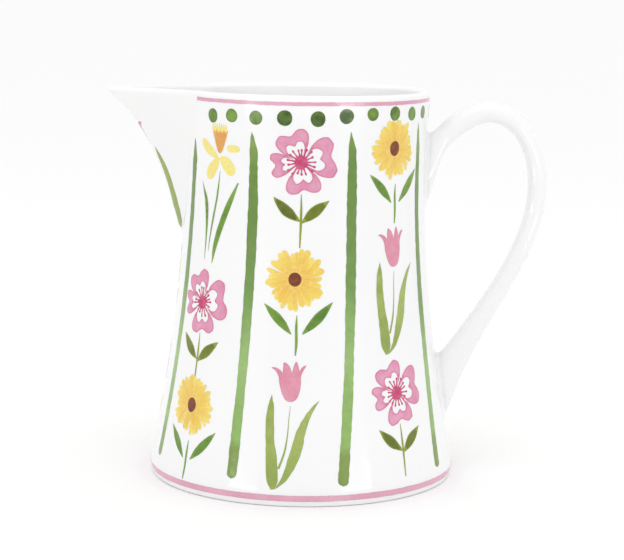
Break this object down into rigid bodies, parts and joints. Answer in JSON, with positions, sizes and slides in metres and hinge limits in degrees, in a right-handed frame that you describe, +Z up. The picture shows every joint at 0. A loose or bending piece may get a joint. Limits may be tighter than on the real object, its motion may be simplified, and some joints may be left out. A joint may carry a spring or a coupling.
{
  "type": "cream jug",
  "caption": "Waisted white porcelain cream jug with a beak spout, a loop handle and a painted pattern of spring flowers and stripes.",
  "frame": {"origin": "middle of the jug's bounding box, on the surface that it stands on", "axes": "+X towards the handle, -X towards the spout, +Y across the jug, +Z up along the body's axis"},
  "size_m": [0.1256, 0.0874, 0.11],
  "materials": {
    "porcelain": "white porcelain under a clear, glossy glaze",
    "slip": "white casting slip wiped smooth, under the same clear glaze",
    "bare_clay": "unglazed, ground smooth",
    "enamel_pink": "printed ceramic colour, fired glossy",
    "enamel_green": "printed ceramic colour, fired glossy",
    "enamel_yellow": "printed ceramic colour, fired glossy",
    "enamel_orange": "printed ceramic colour, fired glossy",
    "enamel_brown": "printed ceramic colour, fired glossy"
  },
  "bodies": {
    "root": {"body": "porcelain", "spout": "porcelain", "spout_lute": "slip", "handle": "porcelain", "handle_upper_lute": "slip", "handle_lower_lute": "slip"}
  },
  "joints": []
}
